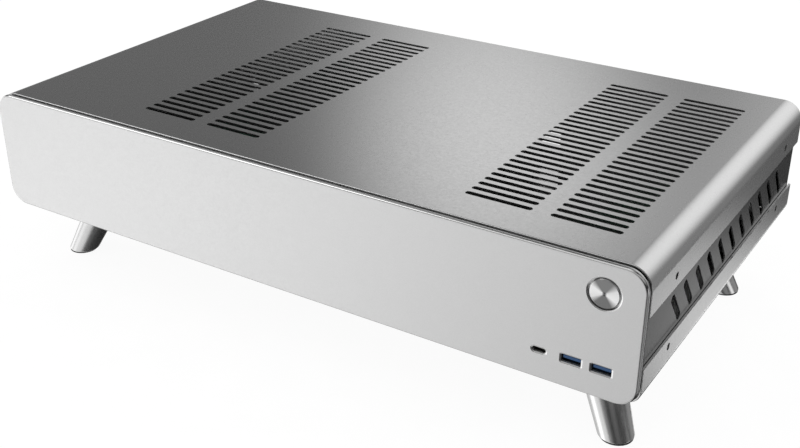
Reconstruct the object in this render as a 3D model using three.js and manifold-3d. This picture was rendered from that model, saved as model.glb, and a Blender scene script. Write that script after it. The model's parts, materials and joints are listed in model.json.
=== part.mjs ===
// A low desktop computer case on four splayed conical feet, with the machine that it holds.
// Millimetres, +Z up. The finished group has its origin on the floor, under the middle of the case.
// Inside the file every piece is drawn in case coordinates: x = 0 is the case's mid-plane,
// y = 0 is the front face, y grows towards the back, and z = 0 is the underside of the case.

import * as THREE from 'three';
import { mergeVertices } from 'three/addons/utils/BufferGeometryUtils.js';
import Module from 'manifold-3d';

const wasm = await Module();
wasm.setup();

// ---------------------------------------------------------------- driving dimensions

const CASE_WIDTH = 510;
const CASE_HEIGHT = 88.2;
const CASE_DEPTH = 296.7;
const FOOT_HEIGHT = 53;
const CORNER_RADIUS = 13.9;
const TRAY_BEND = 9;
const GAP = 0.3;
const HALF = CASE_WIDTH / 2;

// Front plate, and the shadow groove between it and the sheet-metal shell.
const PLATE = 3.2;
const SHELL_FRONT = 5.7;
const SHEET = 1.5;
const COVER_FLANGE_Z = 58.2;
const TRAY_FLANGE_Z = 24.3;
const BEND_SEGMENTS = 9;

// Inner frames sit just inside the shell.
const INSET = SHEET + 0.5;
const FRAME_SHEET = 1.5;
const REAR_FACE = CASE_DEPTH - 2.3;
const FRAME_REACH = HALF - CORNER_RADIUS - 6;
const FRAME_LIP = { front: 18, rear: 282 };

// Slots in the cover: four groups of rows.
const SLOT_ROWS = 28;
const SLOT_PITCH = 8.18;
const SLOT_FIRST = 36.8;
const SLOT_LENGTH = 45.2;
const SLOT_WIDTH = 4.2;
const SLOT_CENTRES = [-117, -60, 144.5, 201.5];

// Slanted slots in the side panels.
const SIDE_SLOTS = 11;
const SIDE_SLOT_PITCH = 20.57;
const SIDE_SLOT_FIRST = 56.4;
const SIDE_SLOT_Z = 39;
const SIDE_SLOT_LENGTH = 28.9;
const SIDE_SLOT_WIDTH = 5.4;
const SIDE_SLOT_LEAN = THREE.MathUtils.degToRad(38);
const SIDE_PANEL = { outer: HALF - SHEET - GAP, sheet: 1.2, y0: 9, y1: 291.6, z0: 14.6, z1: 73.4 };

// Screws through the flanges into the side panels.
const SCREW_Y = { front: 45.5, rear: 261.3 };
const SCREW_Z = { upper: 66.1, lower: 18.4 };
const SCREW_HEAD = { radius: 2.1, sink: 0.35 };
const SCREW_HOLE = 2.4;
const SHANK_RADIUS = 1.4;
const SHANK_HOLE = 1.8;

// Feet.
const FOOT_AXES = { front: { x: 206.5, y: 55.8 }, rear: { x: 204, y: 238.5 } };
const FOOT = { top: 15.1, bottom: 11.7, outX: 24.3, outY: 14.6 };
const FOOT_CHAMFER = 0.6;
const PAD = { radius: 10.8, height: 1 };
const FOOT_SCREW = { head: 4.6, shank: 2.8, bore: 3.1, hole: 3.4, tip: -13, boreEnd: -14, socket: 1.9 };

// Power button and front sockets.
const BUTTON = { x: 230.1, z: 68.6, radius: 9.3, hole: 10.1, flange: 11.4, counterbore: 12, travel: 1.2 };
const USB_Z = 19.6;
const USB_C = { x: 193.3, width: 8.9, height: 3.3 };
const USB_A = { xs: [213.6, 232.3], width: 12.5, height: 5.2 };
const PORT_WEB = 1.2;
const SOCKET_WALL = 0.35;
const IO_BOARD = { x0: 183, x1: 246, y0: 20.5, y1: 22.1, z0: 9, z1: 80 };

// Studs that pin the plate to the subframe, and the posts that carry the front board.
const STUDS = { xs: [-225, -50, 125], zs: [18, 70], radius: 2.5, hole: 2.9, end: 12 };
const BOARD_POSTS = [[188, 60], [188, 30], [241, 45]];
const FRONT_INTAKE = { first: -189, last: 171, pitch: 45, z: 44, length: 34, width: 14 };

// Vents in the back and under the drive.
const REAR_VENTS = [
  { first: 26, last: 98, z: 52, length: 34 },
  { first: -238, last: -198, z: 42, length: 46 },
];
const REAR_VENT_PITCH = 8;
const TRAY_VENTS = { rows: 7, x: 172, y: 72, pitch: 14, length: 76 };

// Motherboard, 244 mm square, and its cooler.
const BOARD = { x0: -225, x1: 19, y0: 46, y1: 290, z0: 8.5, z1: 10.1 };
const COOLER = { x: -60, y: 205, size: 92, base: 22.3, plate: 4, fins: 22, fan: 15 };
const MEMORY = { x0: -126, x1: 6, y: 132, height: 33 };
const IO_OPENING = { x0: -148, x1: 10.8, z0: 7.9, z1: 52.3 };
const SLOT_COVER_X = -161;
const CABLE_PASS = { x0: 52, x1: 78, z0: 11.7, z1: 28 };

// Power supply in the small form factor, 125 x 100 x 63.5 mm.
const PSU = { x0: 113, x1: 238, y0: 192.6, y1: 292.6, z0: 5.7, z1: 68.7, wall: 1 };
const PSU_FAN = { x: 175.5, y: 242, radius: 38 };
const INLET = { x: 148, z: 34, width: 27, height: 20 };
const ROCKER = { x: 184, z: 34, width: 9.6, half: 8.2, rest: THREE.MathUtils.degToRad(-8) };

// Drive bracket and drive.
const BRACKET = { x0: 125, x1: 232, y0: 32, y1: 178, z: 42 };
const DRIVE = { x0: 152, x1: 221.9, y0: 52, y1: 152, height: 7 };

// ---------------------------------------------------------------- materials

function finish(color, roughness, metalness) {
  return new THREE.MeshStandardMaterial({ color, roughness, metalness });
}

const ANODISED = finish(0xc9cacb, 0.42, 0.9);
const COVER_ALUMINIUM = finish(0xa9abad, 0.38, 0.9);
const POLISHED = finish(0xd6d6d6, 0.12, 1);
const TURNED = finish(0xcfcfcf, 0.22, 1);
const ZINC_STEEL = finish(0xb4b7b8, 0.35, 0.9);
const BLACK_STEEL = finish(0x3c3e40, 0.5, 0.6);
const BLACK_PLASTIC = finish(0x151617, 0.5, 0);
const RUBBER = finish(0x1c1c1c, 0.85, 0);
const USB_BLUE = finish(0x1d5fb4, 0.4, 0);
const BOARD_GREEN = finish(0x123f2c, 0.5, 0.1);
const BARE_ALUMINIUM = finish(0xbfc2c4, 0.3, 0.95);
const NICKEL = finish(0xb9b4a8, 0.25, 1);

// ---------------------------------------------------------------- geometry helpers

// A closed three.js geometry becomes a solid: shared vertices merged, collapsed triangles dropped.
function solid(geometry) {
  const bare = geometry.clone();
  bare.deleteAttribute('normal');
  bare.deleteAttribute('uv');
  const merged = mergeVertices(bare, 1e-4);
  const index = merged.index.array;
  const triangles = [];
  for (let i = 0; i < index.length; i += 3) {
    const [a, b, c] = [index[i], index[i + 1], index[i + 2]];
    if (a !== b && b !== c && a !== c) triangles.push(a, b, c);
  }
  return new wasm.Manifold(new wasm.Mesh({
    numProp: 3,
    vertProperties: new Float32Array(merged.attributes.position.array),
    triVerts: new Uint32Array(triangles),
  }));
}

function geometryOf(body) {
  const mesh = body.getMesh();
  const geometry = new THREE.BufferGeometry();
  geometry.setAttribute('position', new THREE.BufferAttribute(mesh.vertProperties, 3));
  geometry.setIndex(new THREE.BufferAttribute(mesh.triVerts, 1));
  geometry.computeVertexNormals();
  return geometry;
}

const join = (bodies) => bodies.reduce((whole, body) => whole.add(body));
const cut = (body, tools) => tools.reduce((rest, tool) => rest.subtract(tool), body);

function box(x0, x1, y0, y1, z0, z1) {
  const geometry = new THREE.BoxGeometry(x1 - x0, y1 - y0, z1 - z0);
  return solid(geometry.translate((x0 + x1) / 2, (y0 + y1) / 2, (z0 + z1) / 2));
}

function extruded(shape, depth) {
  return new THREE.ExtrudeGeometry(shape, { depth, bevelEnabled: false });
}

// The shape's own axes are x and z.
function alongY(shape, y0, y1) {
  return solid(extruded(shape, y1 - y0).rotateX(Math.PI / 2).translate(0, y1, 0));
}

// The shape's own axes are x and y.
function alongZ(shape, z0, z1) {
  return solid(extruded(shape, z1 - z0).translate(0, 0, z0));
}

// The shape's own axes are y and z.
function alongX(shape, x0, x1) {
  const turn = new THREE.Matrix4().makeBasis(
    new THREE.Vector3(0, 1, 0), new THREE.Vector3(0, 0, 1), new THREE.Vector3(1, 0, 0));
  return solid(extruded(shape, x1 - x0).applyMatrix4(turn).translate(x0, 0, 0));
}

// A circle drawn with a chosen number of sides.
function disc(u, v, radius, sides) {
  const points = [];
  for (let i = 0; i < sides; i += 1) {
    const angle = (2 * Math.PI * (i + 0.5)) / sides;
    points.push(new THREE.Vector2(u + radius * Math.cos(angle), v + radius * Math.sin(angle)));
  }
  return new THREE.Shape(points);
}

const rodX = (y, z, radius, x0, x1, sides = 12) => alongX(disc(y, z, radius, sides), x0, x1);
const rodY = (x, z, radius, y0, y1, sides = 12) => alongY(disc(x, z, radius, sides), y0, y1);
const rodZ = (x, y, radius, z0, z1, sides = 12) => alongZ(disc(x, y, radius, sides), z0, z1);

function arcPoints(u, v, radius, from, to, steps) {
  const points = [];
  for (let i = 0; i <= steps; i += 1) {
    const angle = THREE.MathUtils.lerp(from, to, i / steps);
    points.push(new THREE.Vector2(u + radius * Math.cos(angle), v + radius * Math.sin(angle)));
  }
  return points;
}

function roundedRectangle(u0, u1, v0, v1, radius, steps = 3) {
  const quarter = Math.PI / 2;
  return new THREE.Shape([
    ...arcPoints(u1 - radius, v0 + radius, radius, -quarter, 0, steps),
    ...arcPoints(u1 - radius, v1 - radius, radius, 0, quarter, steps),
    ...arcPoints(u0 + radius, v1 - radius, radius, quarter, 2 * quarter, steps),
    ...arcPoints(u0 + radius, v0 + radius, radius, 2 * quarter, 3 * quarter, steps),
  ]);
}

// A slot with half-round ends, centred on (u, v); the angle turns its long axis away from u.
function slotShape(u, v, length, width, angle = 0, steps = 2) {
  const radius = width / 2;
  const reach = length / 2 - radius;
  const du = reach * Math.cos(angle);
  const dv = reach * Math.sin(angle);
  const half = Math.PI / 2;
  return new THREE.Shape([
    ...arcPoints(u + du, v + dv, radius, angle - half, angle + half, steps),
    ...arcPoints(u - du, v - dv, radius, angle + half, angle + 3 * half, steps),
  ]);
}

// A turned body about the vertical axis through (x, y); the profile runs from the bottom to the top.
function turned(profile, sides) {
  const points = profile.map(([radius, z]) => new THREE.Vector2(radius, z));
  return new THREE.LatheGeometry(points, sides).rotateX(Math.PI / 2);
}

const interior = new THREE.Group();
interior.position.set(0, -CASE_DEPTH / 2, FOOT_HEIGHT);

function piece(name, body, material) {
  const mesh = new THREE.Mesh(geometryOf(body), material);
  mesh.name = name;
  interior.add(mesh);
}

// ---------------------------------------------------------------- shell

// A U-shaped sheet: its web is at webZ, and its two flanges end at lipZ.
function channel(webZ, lipZ, outer) {
  const side = Math.sign(lipZ - webZ);
  const inner = outer - SHEET;
  const centreX = HALF - outer;
  const centreZ = webZ + side * outer;
  const points = [];
  const arc = (cx, radius, from, to) => {
    for (let i = 0; i <= BEND_SEGMENTS; i += 1) {
      const angle = THREE.MathUtils.lerp(from, to, i / BEND_SEGMENTS);
      const z = centreZ - side * radius * Math.sin(angle);
      points.push(new THREE.Vector2(cx + radius * Math.cos(angle), z));
    }
  };
  points.push(new THREE.Vector2(HALF, lipZ));
  arc(centreX, outer, 0, Math.PI / 2);
  arc(-centreX, outer, Math.PI / 2, Math.PI);
  points.push(new THREE.Vector2(-HALF, lipZ));
  points.push(new THREE.Vector2(-HALF + SHEET, lipZ));
  arc(-centreX, inner, Math.PI, Math.PI / 2);
  arc(centreX, inner, Math.PI / 2, 0);
  points.push(new THREE.Vector2(HALF - SHEET, lipZ));
  return alongY(new THREE.Shape(points), SHELL_FRONT, CASE_DEPTH);
}

function flangeHoles(z) {
  const holes = [];
  for (const y of Object.values(SCREW_Y)) {
    holes.push(rodX(y, z, SCREW_HOLE, -HALF - 1, -HALF + SHEET + 1));
    holes.push(rodX(y, z, SCREW_HOLE, HALF - SHEET - 1, HALF + 1));
  }
  return holes;
}

function topCover() {
  const tools = flangeHoles(SCREW_Z.upper);
  for (const x of SLOT_CENTRES) {
    for (let row = 0; row < SLOT_ROWS; row += 1) {
      const y = SLOT_FIRST + row * SLOT_PITCH;
      tools.push(alongZ(slotShape(x, y, SLOT_LENGTH, SLOT_WIDTH), CASE_HEIGHT - 4, CASE_HEIGHT + 2));
    }
  }
  return cut(channel(CASE_HEIGHT, COVER_FLANGE_Z, CORNER_RADIUS), tools);
}

const footPlaces = [];
for (const [end, axis] of Object.entries(FOOT_AXES)) {
  const outY = end === 'front' ? -FOOT.outY : FOOT.outY;
  for (const [side, sign] of [['left', -1], ['right', 1]]) {
    footPlaces.push({ name: `${end}_${side}`, x: sign * axis.x, y: axis.y, outX: sign * FOOT.outX, outY });
  }
}

function bottomTray() {
  const tools = flangeHoles(SCREW_Z.lower);
  for (const foot of footPlaces) tools.push(rodZ(foot.x, foot.y, FOOT_SCREW.hole, -1, SHEET + 1));
  for (let row = 0; row < TRAY_VENTS.rows; row += 1) {
    const y = TRAY_VENTS.y + row * TRAY_VENTS.pitch;
    tools.push(alongZ(slotShape(TRAY_VENTS.x, y, TRAY_VENTS.length, SLOT_WIDTH), -1, SHEET + 1));
  }
  const standoffs = [];
  for (const x of [BOARD.x0 + 6.4, (BOARD.x0 + BOARD.x1) / 2, BOARD.x1 - 6.4]) {
    for (const y of [BOARD.y0 + 10.2, BOARD.y0 + 124, BOARD.y1 - 8]) {
      standoffs.push(rodZ(x, y, 3.2, SHEET / 2, BOARD.z0 - GAP, 8));
    }
  }
  for (const x of [PSU.x0 + 10, PSU.x1 - 10]) {
    standoffs.push(box(x - 6, x + 6, PSU.y0 + 8, PSU.y1 - 8, SHEET / 2, PSU.z0 - GAP));
  }
  return join([cut(channel(0, TRAY_FLANGE_Z, TRAY_BEND), tools), ...standoffs]);
}

function frontPanel() {
  const plate = alongY(roundedRectangle(-HALF, HALF, 0, CASE_HEIGHT, CORNER_RADIUS, BEND_SEGMENTS), 0, PLATE);
  const tools = [
    rodY(BUTTON.x, BUTTON.z, BUTTON.hole, -1, PLATE + 1, 36),
    rodY(BUTTON.x, BUTTON.z, BUTTON.counterbore, PORT_WEB + 0.4, PLATE + 1, 24),
    alongY(slotShape(USB_C.x, USB_Z, USB_C.width, USB_C.height, 0, 6), -1, PLATE + 1),
    box(USB_C.x - 6, USB_C.x + 6, PORT_WEB, PLATE + 1, USB_Z - 3.4, USB_Z + 3.4),
  ];
  for (const x of USB_A.xs) {
    const [w, h] = [USB_A.width / 2, USB_A.height / 2];
    tools.push(alongY(roundedRectangle(x - w, x + w, USB_Z - h, USB_Z + h, 0.5, 2), -1, PLATE + 1));
    tools.push(box(x - w - 1.2, x + w + 1.2, PORT_WEB, PLATE + 1, USB_Z - h - 1.2, USB_Z + h + 1.2));
  }
  const studs = [];
  for (const x of STUDS.xs) {
    for (const z of STUDS.zs) studs.push(rodY(x, z, STUDS.radius, PLATE - 1, STUDS.end, 8));
  }
  return join([cut(plate, tools), ...studs]);
}

// The outline that fits just inside the cover and the tray.
function innerOutline() {
  const [side, top] = [HALF - INSET, CASE_HEIGHT - INSET];
  return roundedRectangle(-side, side, INSET, top, CORNER_RADIUS - INSET);
}

function frontSubframe() {
  const outline = innerOutline();
  const y0 = PLATE + GAP;
  const y1 = y0 + FRAME_SHEET;
  const top = CASE_HEIGHT - INSET;
  const body = join([
    alongY(outline, y0, y1),
    box(-FRAME_REACH, FRAME_REACH, y0, FRAME_LIP.front, INSET, INSET + FRAME_SHEET),
    box(-FRAME_REACH, FRAME_REACH, y0, FRAME_LIP.front, top - FRAME_SHEET, top),
    ...BOARD_POSTS.map(([x, z]) => rodY(x, z, STUDS.radius, y0, IO_BOARD.y0 - GAP, 8)),
    box(-HALF + INSET, -HALF + INSET + FRAME_SHEET, y0, SIDE_PANEL.y0 - GAP, SIDE_PANEL.z0, SIDE_PANEL.z1),
    box(HALF - INSET - FRAME_SHEET, HALF - INSET, y0, SIDE_PANEL.y0 - GAP, SIDE_PANEL.z0, SIDE_PANEL.z1),
  ]);
  const tools = [rodY(BUTTON.x, BUTTON.z, BUTTON.counterbore + 0.2, 0, 10, 24)];
  for (const x of [USB_C.x, ...USB_A.xs]) tools.push(box(x - 7.6, x + 7.6, 0, 10, USB_Z - 4.4, USB_Z + 4.4));
  for (const x of STUDS.xs) {
    for (const z of STUDS.zs) tools.push(rodY(x, z, STUDS.hole, 0, 10, 8));
  }
  const { first, last, pitch, z, length, width } = FRONT_INTAKE;
  for (let x = first; x <= last; x += pitch) {
    tools.push(alongY(slotShape(x, z, length, width, Math.PI / 2), 0, 10));
  }
  return cut(body, tools);
}

function rearPanel() {
  const outline = innerOutline();
  const y1 = REAR_FACE;
  const y0 = y1 - FRAME_SHEET;
  const top = CASE_HEIGHT - INSET;
  const body = join([
    alongY(outline, y0, y1),
    box(-FRAME_REACH, FRAME_REACH, FRAME_LIP.rear, y1, top - FRAME_SHEET, top),
  ]);
  const tools = [
    box(IO_OPENING.x0, IO_OPENING.x1, 288, 300, IO_OPENING.z0, IO_OPENING.z1),
    box(PSU.x0 + 6, PSU.x1 - 6, 288, 300, PSU.z0 + 6, PSU.z1 - 6),
  ];
  tools.push(box(SLOT_COVER_X - 6.5, SLOT_COVER_X + 6.5, 288, 300, 12, 72));
  tools.push(box(CABLE_PASS.x0, CABLE_PASS.x1, 280, 300, CABLE_PASS.z0, CABLE_PASS.z1));
  for (const { first, last, z, length } of REAR_VENTS) {
    for (let x = first; x <= last; x += REAR_VENT_PITCH) {
      tools.push(alongY(slotShape(x, z, length, SLOT_WIDTH, Math.PI / 2), 280, 300));
    }
  }
  return cut(body, tools);
}

function sidePanel(sign) {
  const inner = SIDE_PANEL.outer - SIDE_PANEL.sheet;
  const [x0, x1] = sign > 0 ? [inner, SIDE_PANEL.outer] : [-SIDE_PANEL.outer, -inner];
  const { y0, y1, z0, z1 } = SIDE_PANEL;
  const plate = alongX(roundedRectangle(y0, y1, z0, z1, 2), x0, x1);
  const tools = [];
  for (let i = 0; i < SIDE_SLOTS; i += 1) {
    const y = SIDE_SLOT_FIRST + i * SIDE_SLOT_PITCH;
    const shape = slotShape(y, SIDE_SLOT_Z, SIDE_SLOT_LENGTH, SIDE_SLOT_WIDTH, SIDE_SLOT_LEAN - Math.PI / 2);
    tools.push(alongX(shape, x0 - 1, x1 + 1));
  }
  for (const y of Object.values(SCREW_Y)) {
    for (const z of Object.values(SCREW_Z)) tools.push(rodX(y, z, SHANK_HOLE, x0 - 1, x1 + 1, 10));
  }
  return cut(plate, tools);
}

function sideScrew(sign, y, z) {
  const head = HALF - SCREW_HEAD.sink;
  const under = SIDE_PANEL.outer + GAP;
  const tip = SIDE_PANEL.outer - 7;
  const body = join([
    rodX(y, z, SCREW_HEAD.radius, under, head, 16),
    rodX(y, z, SHANK_RADIUS, tip, under + 0.1, 8),
  ]);
  const drilled = cut(body, [rodX(y, z, 1.1, head - 1.1, head + 1, 6)]);
  return sign > 0 ? drilled : drilled.mirror([1, 0, 0]);
}

function buildShell() {
  piece('front_panel', frontPanel(), ANODISED);
  piece('front_subframe', frontSubframe(), BLACK_STEEL);
  piece('top_cover', topCover(), COVER_ALUMINIUM);
  piece('bottom_tray', bottomTray(), COVER_ALUMINIUM);
  piece('rear_panel', rearPanel(), BLACK_STEEL);
  for (const [side, sign] of [['left', -1], ['right', 1]]) {
    piece(`side_panel_${side}`, sidePanel(sign), BLACK_STEEL);
    for (const [end, y] of Object.entries(SCREW_Y)) {
      for (const [level, z] of Object.entries(SCREW_Z)) {
        piece(`side_screw_${side}_${end}_${level}`, sideScrew(sign, y, z), BLACK_STEEL);
      }
    }
  }
}

// ---------------------------------------------------------------- feet

// A cone that leans outwards: each level is a circle, moved sideways as it goes down.
function leaning(geometry, foot) {
  const matrix = new THREE.Matrix4().set(
    1, 0, -foot.outX / FOOT_HEIGHT, foot.x,
    0, 1, -foot.outY / FOOT_HEIGHT, foot.y,
    0, 0, 1, 0,
    0, 0, 0, 1);
  return solid(geometry.applyMatrix4(matrix));
}

function footCone(foot) {
  const low = -FOOT_HEIGHT + PAD.height + GAP;
  const profile = [
    [0, low], [FOOT.bottom - FOOT_CHAMFER, low], [FOOT.bottom, low + FOOT_CHAMFER],
    [FOOT.top, -GAP], [0, -GAP],
  ];
  const cone = leaning(turned(profile, 32), foot);
  return cut(cone, [rodZ(foot.x, foot.y, FOOT_SCREW.bore, FOOT_SCREW.boreEnd, 1, 12)]);
}

function footPad(foot) {
  const low = -FOOT_HEIGHT;
  const high = low + PAD.height;
  return leaning(turned([[0, low], [PAD.radius, low], [PAD.radius, high], [0, high]], 24), foot);
}

function footScrew(foot) {
  const under = SHEET + GAP;
  const body = join([
    rodZ(foot.x, foot.y, FOOT_SCREW.head, under, under + 3, 16),
    rodZ(foot.x, foot.y, FOOT_SCREW.shank, FOOT_SCREW.tip, under + 0.5, 10),
  ]);
  return cut(body, [rodZ(foot.x, foot.y, FOOT_SCREW.socket, under + 1.2, under + 5, 6)]);
}

function buildFeet() {
  for (const foot of footPlaces) {
    piece(`foot_${foot.name}`, footCone(foot), POLISHED);
    piece(`foot_pad_${foot.name}`, footPad(foot), RUBBER);
    piece(`foot_screw_${foot.name}`, footScrew(foot), ZINC_STEEL);
  }
}

// ---------------------------------------------------------------- power button and front sockets

function powerButton() {
  const { x, z, radius, flange } = BUTTON;
  return join([
    rodY(x, z, radius, 0, 3, 36),
    rodY(x, z, flange, 2.1, 3.1, 24),
    rodY(x, z, 3, 3, 7.6, 12),
  ]);
}

function powerSwitch() {
  const { x, z } = BUTTON;
  return join([
    box(x - 6, x + 6, 13.2, IO_BOARD.y0 - GAP, z - 6, z + 6),
    rodY(x, z, 3, 9.1, 13.5, 16),
  ]);
}

// A metal-shelled socket, open at the front; its back wall lies against the front board.
function usbSocket(x, width, height, radius) {
  const y0 = PORT_WEB + GAP;
  const y1 = IO_BOARD.y0 - GAP;
  const outline = (grow) => {
    const [w, h] = [width / 2 + grow, height / 2 + grow];
    return roundedRectangle(x - w, x + w, USB_Z - h, USB_Z + h, radius + grow);
  };
  return cut(alongY(outline(SOCKET_WALL), y0, y1), [alongY(outline(0), y0 - 1, y1 - 1.5)]);
}

function usbATongue(x) {
  return box(x - 5.6, x + 5.6, 2, 18, USB_Z - 0.9, USB_Z + 1.1);
}

function buildFrontControls() {
  piece('power_button', powerButton(), TURNED);
  piece('power_switch', powerSwitch(), BLACK_PLASTIC);
  const { x0, x1, y0, y1, z0, z1 } = IO_BOARD;
  piece('front_io_board', box(x0, x1, y0, y1, z0, z1), BOARD_GREEN);
  const tongueC = box(USB_C.x - 3.2, USB_C.x + 3.2, 3, 19, USB_Z - 0.35, USB_Z + 0.35);
  piece('usb_c_socket', join([usbSocket(USB_C.x, USB_C.width, USB_C.height, 1.5), tongueC]), ZINC_STEEL);
  USB_A.xs.forEach((x, i) => {
    piece(`usb_a_socket_${i + 1}`, usbSocket(x, USB_A.width, USB_A.height, 0.5), ZINC_STEEL);
    piece(`usb_a_tongue_${i + 1}`, usbATongue(x), USB_BLUE);
  });
}

// ---------------------------------------------------------------- motherboard and what it carries

// A fan's turning part: a hub with pitched blades, about the vertical axis through (x, y).
function fanRotor(x, y, z0, z1, hub, tip, blades) {
  const middle = (z0 + z1) / 2;
  const parts = [rodZ(x, y, hub, z0, z1, 20), rodZ(x, y, 1.5, z0 - 2.2, z0 + 1, 8)];
  const length = tip - hub + 2;
  for (let i = 0; i < blades; i += 1) {
    const blade = new THREE.BoxGeometry(length, (tip * 2.6) / blades, 1.2);
    blade.rotateX(THREE.MathUtils.degToRad(27)).translate(hub - 2 + length / 2, 0, 0);
    blade.rotateZ((2 * Math.PI * i) / blades).translate(x, y, middle);
    parts.push(solid(blade));
  }
  const limit = rodZ(x, y, tip, z0 - 3, z1, 28);
  return join(parts).intersect(limit);
}

function fanFrame(x, y, size, z0, z1, bore, hub) {
  const half = size / 2;
  const outline = roundedRectangle(x - half, x + half, y - half, y + half, 4);
  outline.holes.push(new THREE.Path(disc(x, y, bore, 32).getPoints()));
  const parts = [alongZ(outline, z0, z1), rodZ(x, y, hub, z0, z0 + 2, 20)];
  for (let i = 0; i < 4; i += 1) {
    const strut = new THREE.BoxGeometry(bore - hub + 4, 4, 2);
    strut.translate((bore + hub) / 2, 0, z0 + 1).rotateZ((Math.PI * (2 * i + 1)) / 4).translate(x, y, 0);
    parts.push(solid(strut));
  }
  const tools = [rodZ(x, y, 2, z0 - 1, z0 + 3, 8)];
  for (const [sx, sy] of [[-1, -1], [-1, 1], [1, -1], [1, 1]]) {
    tools.push(rodZ(x + sx * (half - 5), y + sy * (half - 5), 2.1, z0 - 1, z1 + 1, 8));
  }
  return cut(join(parts), tools);
}

function coolerHeatsink() {
  const { x, y, size, base, plate, fins } = COOLER;
  const half = size / 2;
  const parts = [
    box(x - half, x + half, y - half, y + half, base, base + plate),
    box(x - 19, x + 19, y - 19, y + 19, base - 5, base + 1),
  ];
  for (let i = 0; i < 17; i += 1) {
    const fin = x - half + 0.6 + i * ((size - 1.2) / 16);
    parts.push(box(fin - 0.5, fin + 0.5, y - half, y + half, base + plate - 1, base + plate + fins));
  }
  return join(parts);
}

function motherboardPieces() {
  const { x0, x1, y0, y1, z0, z1 } = BOARD;
  const seat = z1 + GAP;
  const board = box(x0, x1, y0, y1, z0, z1);
  const chips = [
    box(-208, -188, 110, 130, z1 - 0.5, z1 + 2),
    box(-120, -108, 246, 270, z1 - 0.5, z1 + 12),
    box(6, 14, 160, 240, z1 - 0.5, z1 + 7),
    rodZ(-190, 70, 10, z1 - 0.5, z1 + 3, 20),
    box(-45, 7, 48, 58, z1 - 0.5, seat + 10),
  ];
  piece('motherboard', join([board, ...chips]), BOARD_GREEN);
  piece('processor', box(-79, -41, 186, 224, seat, 17), NICKEL);
  for (const [i, y] of [[1, MEMORY.y], [2, MEMORY.y - 14]]) {
    const body = box(MEMORY.x0 - 4, MEMORY.x1 + 4, y - 3.4, y + 3.4, seat, seat + 8);
    const channel = box(MEMORY.x0, MEMORY.x1, y - 1, y + 1, seat + 2, seat + 10);
    const card = box(MEMORY.x0 + 0.4, MEMORY.x1 - 0.4, y - 0.6, y + 0.6, seat + 2.4, seat + MEMORY.height);
    piece(`memory_socket_${i}`, cut(body, [channel]), BLACK_PLASTIC);
    piece(`memory_module_${i}`, card, BOARD_GREEN);
  }
  const slotX = SLOT_COVER_X;
  const body = box(slotX - 4, slotX + 4, 150, 240, seat, seat + 11);
  const channel = box(slotX - 1.2, slotX + 1.2, 153, 237, seat + 3, seat + 12);
  piece('expansion_socket', cut(body, [channel]), BLACK_PLASTIC);
  piece('storage_module', box(-148, -126, 155, 235, seat + 1.5, seat + 4.5), BLACK_PLASTIC);
}

function coolerPieces() {
  const { x, y, size, base, plate, fins, fan } = COOLER;
  const fanBase = base + plate + fins + GAP;
  piece('cooler_heatsink', coolerHeatsink(), BARE_ALUMINIUM);
  piece('cooler_fan_frame', fanFrame(x, y, size, fanBase, fanBase + fan, 43.5, 15), BLACK_PLASTIC);
  piece('cooler_fan_rotor', fanRotor(x, y, fanBase + 3, fanBase + fan - 1, 16, 42.6, 7), BLACK_PLASTIC);
}

// Sockets along the rear edge of the motherboard: left edge, width, height.
const REAR_PORTS = [
  [-140, 14, 15.5], [-118, 16, 7.5], [-94, 14, 15.5], [-70, 16, 28], [-42, 14, 15.5], [-18, 22, 28],
];

function rearPortBlock() {
  const seat = BOARD.z1 + GAP;
  const parts = [box(-142, 6, 277, 289, seat, seat + 3)];
  const tools = [];
  for (const [x, width, height] of REAR_PORTS) {
    parts.push(box(x, x + width, 277, 295.4, seat, seat + height));
    const levels = Math.max(1, Math.floor(height / 7.4));
    for (let level = 0; level < levels; level += 1) {
      const z = seat + 1.2 + level * 7.4;
      tools.push(box(x + 0.8, x + width - 0.8, 286, 300, z, z + 1.7));
      tools.push(box(x + 0.8, x + width - 0.8, 286, 300, z + 3.4, z + 5.2));
    }
  }
  return cut(join(parts), tools);
}

function ioShield() {
  const { x0, x1, z0, z1 } = IO_OPENING;
  const plate = box(x0 + GAP, x1 - GAP, 293.1, 294, z0 + GAP, z1 - GAP);
  const seat = BOARD.z1 + GAP;
  const tools = [];
  for (const [x, width, height] of REAR_PORTS) {
    tools.push(box(x - 0.4, x + width + 0.4, 290, 300, seat - 0.4, seat + height + 0.4));
  }
  return cut(plate, tools);
}

function slotCover(x) {
  return join([
    box(x - 8, x + 8, 291.3, REAR_FACE - FRAME_SHEET - GAP, 9, 78),
    box(x - 8, x + 8, 284, REAR_FACE - FRAME_SHEET - GAP, 77, 78.3),
  ]);
}

function buildRear() {
  piece('rear_port_block', rearPortBlock(), ZINC_STEEL);
  piece('io_shield', ioShield(), ZINC_STEEL);
  piece('slot_cover', slotCover(SLOT_COVER_X), BLACK_STEEL);
}

// ---------------------------------------------------------------- power supply

function psuCase() {
  const { x0, x1, y0, y1, z0, z1, wall } = PSU;
  const hollow = box(x0 + wall, x1 - wall, y0 + wall, y1 - wall, z0 + wall, z1 + 1);
  const tools = [
    hollow,
    box(INLET.x - INLET.width / 2 - GAP, INLET.x + INLET.width / 2 + GAP, y1 - 3, y1 + 3,
      INLET.z - INLET.height / 2 - GAP, INLET.z + INLET.height / 2 + GAP),
    box(ROCKER.x - ROCKER.width / 2 - 0.5, ROCKER.x + ROCKER.width / 2 + 0.5, y1 - 3, y1 + 3,
      ROCKER.z - ROCKER.half - 1.2, ROCKER.z + ROCKER.half + 1.2),
    box(120, 146, y0 - 1, y0 + 3, 14, 30),
  ];
  for (let x = 200; x <= 230; x += 6) {
    tools.push(alongY(slotShape(x, 34, 40, 3, Math.PI / 2), y1 - 3, y1 + 3));
  }
  return cut(box(x0, x1, y0, y1, z0, z1), tools);
}

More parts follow.
